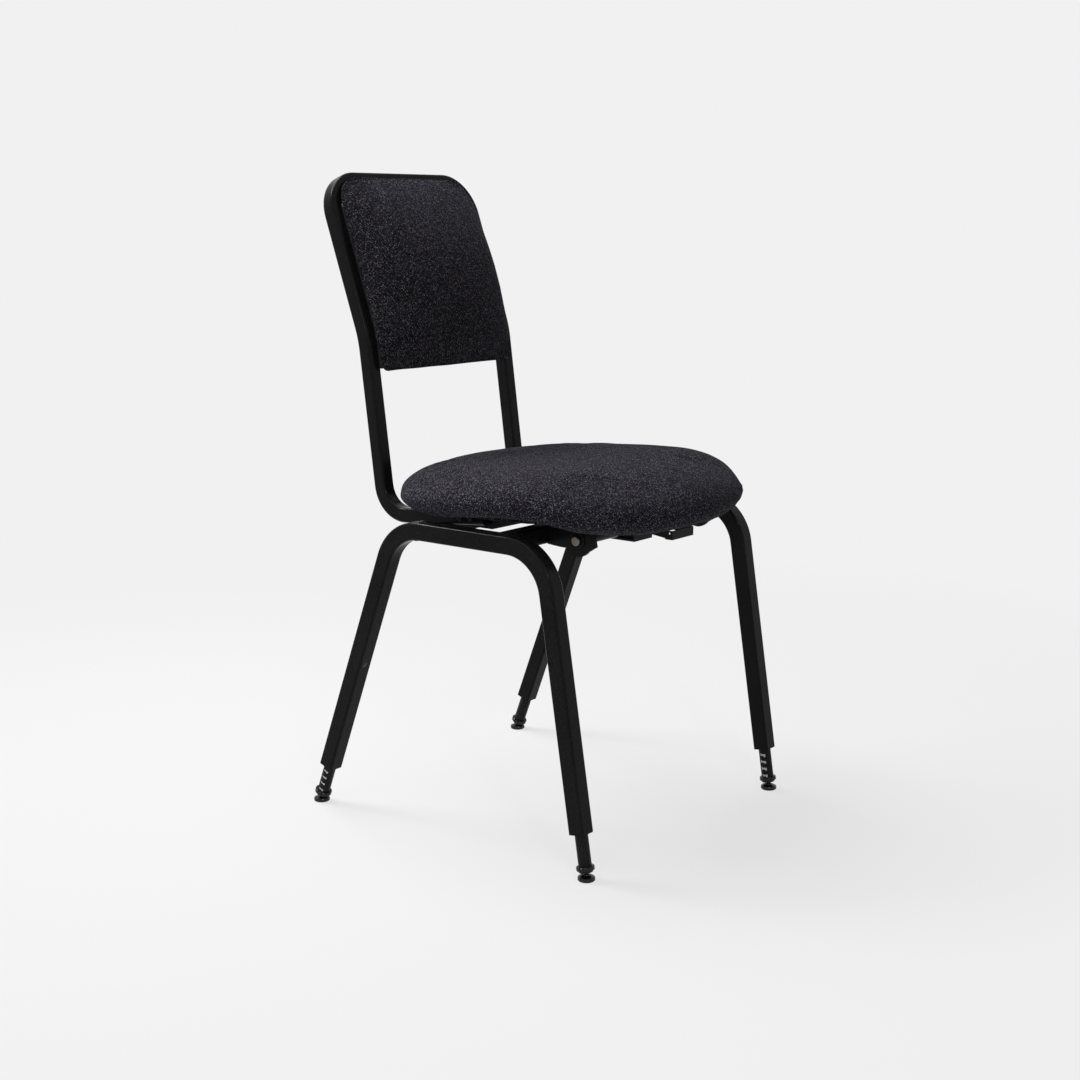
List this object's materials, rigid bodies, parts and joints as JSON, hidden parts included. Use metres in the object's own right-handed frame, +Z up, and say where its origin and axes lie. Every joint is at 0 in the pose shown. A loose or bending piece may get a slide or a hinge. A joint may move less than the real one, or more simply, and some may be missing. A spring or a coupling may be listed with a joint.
{
  "type": "choir chair",
  "caption": "Black tube choir chair with tweed seat and back, a seat that tips forward and feet that pull out in locking steps",
  "frame": {"origin": "on the floor under the middle of the chair's box", "axes": "+Z up, the chair faces -Y, +X to the sitter's left"},
  "size_m": [0.4502, 0.507, 0.8225],
  "materials": {
    "frame_black": "satin black powder coat",
    "foot_black": "satin black coat on the foot tubes",
    "black_plastic": "glossy black moulding",
    "rubber": "matt black rubber",
    "white_plastic": "plain white moulding",
    "tweed": "charcoal heathered tweed over foam",
    "board": "plain plywood",
    "back_panel": "matt black panel",
    "bright_steel": "bright steel"
  },
  "bodies": {
    "frame": {"side_frame_right": "frame_black", "side_frame_left": "frame_black", "front_crossbar": "frame_black", "rear_crossbar": "frame_black", "pivot_plate_right": "frame_black", "pivot_plate_left": "frame_black", "pivot_rod": "bright_steel", "pivot_washers": "frame_black", "pivot_caps": "bright_steel", "stop_buffers": "rubber", "latch_plate": "frame_black", "leg_sleeve_front_right": "black_plastic", "leg_sleeve_front_left": "black_plastic", "leg_sleeve_rear_right": "black_plastic", "leg_sleeve_rear_left": "black_plastic", "pivot_spacers": "black_plastic"},
    "seat": {"seat_plate_right": "frame_black", "seat_plate_left": "frame_black", "pivot_tube": "frame_black", "back_frame": "frame_black", "back_tabs": "frame_black", "arm_bolts": "bright_steel", "seat_board": "board", "seat_screws": "bright_steel", "seat_cushion": "tweed", "back_board": "back_panel", "back_screws": "bright_steel", "back_cushion": "tweed", "lever_bracket": "frame_black", "lever_pin": "bright_steel"},
    "lever": {"release_lever": "frame_black"},
    "glide_front_right": {"foot_base_front_right": "black_plastic"},
    "foot_front_right": {"foot_tube_front_right": "foot_black", "foot_liner_front_right": "white_plastic", "foot_collar_front_right": "black_plastic"},
    "glide_front_left": {"foot_base_front_left": "black_plastic"},
    "foot_front_left": {"foot_tube_front_left": "foot_black", "foot_liner_front_left": "white_plastic", "foot_collar_front_left": "black_plastic"},
    "glide_rear_right": {"foot_base_rear_right": "black_plastic"},
    "foot_rear_right": {"foot_tube_rear_right": "foot_black", "foot_liner_rear_right": "white_plastic", "foot_collar_rear_right": "black_plastic"},
    "glide_rear_left": {"foot_base_rear_left": "black_plastic"},
    "foot_rear_left": {"foot_tube_rear_left": "foot_black", "foot_liner_rear_left": "white_plastic", "foot_collar_rear_left": "black_plastic"}
  },
  "joints": [
    {"name": "seat_tilt", "type": "hinge", "parent": "frame", "child": "seat", "pos_m": [0, -0.16803, 0.3864], "axis": [1, 0, 0], "range_deg": [0, 8]},
    {"name": "lever_press", "type": "hinge", "parent": "seat", "child": "lever", "pos_m": [0, -0.20663, 0.39], "axis": [1, 0, 0], "range_deg": [0, 12]},
    {"name": "foot_slide_front_right", "type": "slide", "parent": "frame", "child": "glide_front_right", "axis": [0, -0.1582, -0.9874], "range_m": [-0.038, 0.038]},
    {"name": "foot_twist_front_right", "type": "hinge", "parent": "glide_front_right", "child": "foot_front_right", "pos_m": [-0.206, -0.24028, 0.0056], "axis": [0, 0.1582, 0.9874], "range_deg": [0, 68]},
    {"name": "foot_slide_front_left", "type": "slide", "parent": "frame", "child": "glide_front_left", "axis": [0, -0.1582, -0.9874], "range_m": [-0.038, 0.038]},
    {"name": "foot_twist_front_left", "type": "hinge", "parent": "glide_front_left", "child": "foot_front_left", "pos_m": [0.206, -0.24028, 0.0056], "axis": [0, 0.1582, 0.9874], "range_deg": [-68, 0]},
    {"name": "foot_slide_rear_right", "type": "slide", "parent": "frame", "child": "glide_rear_right", "axis": [0, 0.3567, -0.9342], "range_m": [-0.038, 0.038]},
    {"name": "foot_twist_rear_right", "type": "hinge", "parent": "glide_rear_right", "child": "foot_rear_right", "pos_m": [-0.206, 0.202, 0.0056], "axis": [0, -0.3567, 0.9342], "range_deg": [-68, 0]},
    {"name": "foot_slide_rear_left", "type": "slide", "parent": "frame", "child": "glide_rear_left", "axis": [0, 0.3567, -0.9342], "range_m": [-0.038, 0.038]},
    {"name": "foot_twist_rear_left", "type": "hinge", "parent": "glide_rear_left", "child": "foot_rear_left", "pos_m": [0.206, 0.202, 0.0056], "axis": [0, -0.3567, 0.9342], "range_deg": [0, 68]}
  ]
}
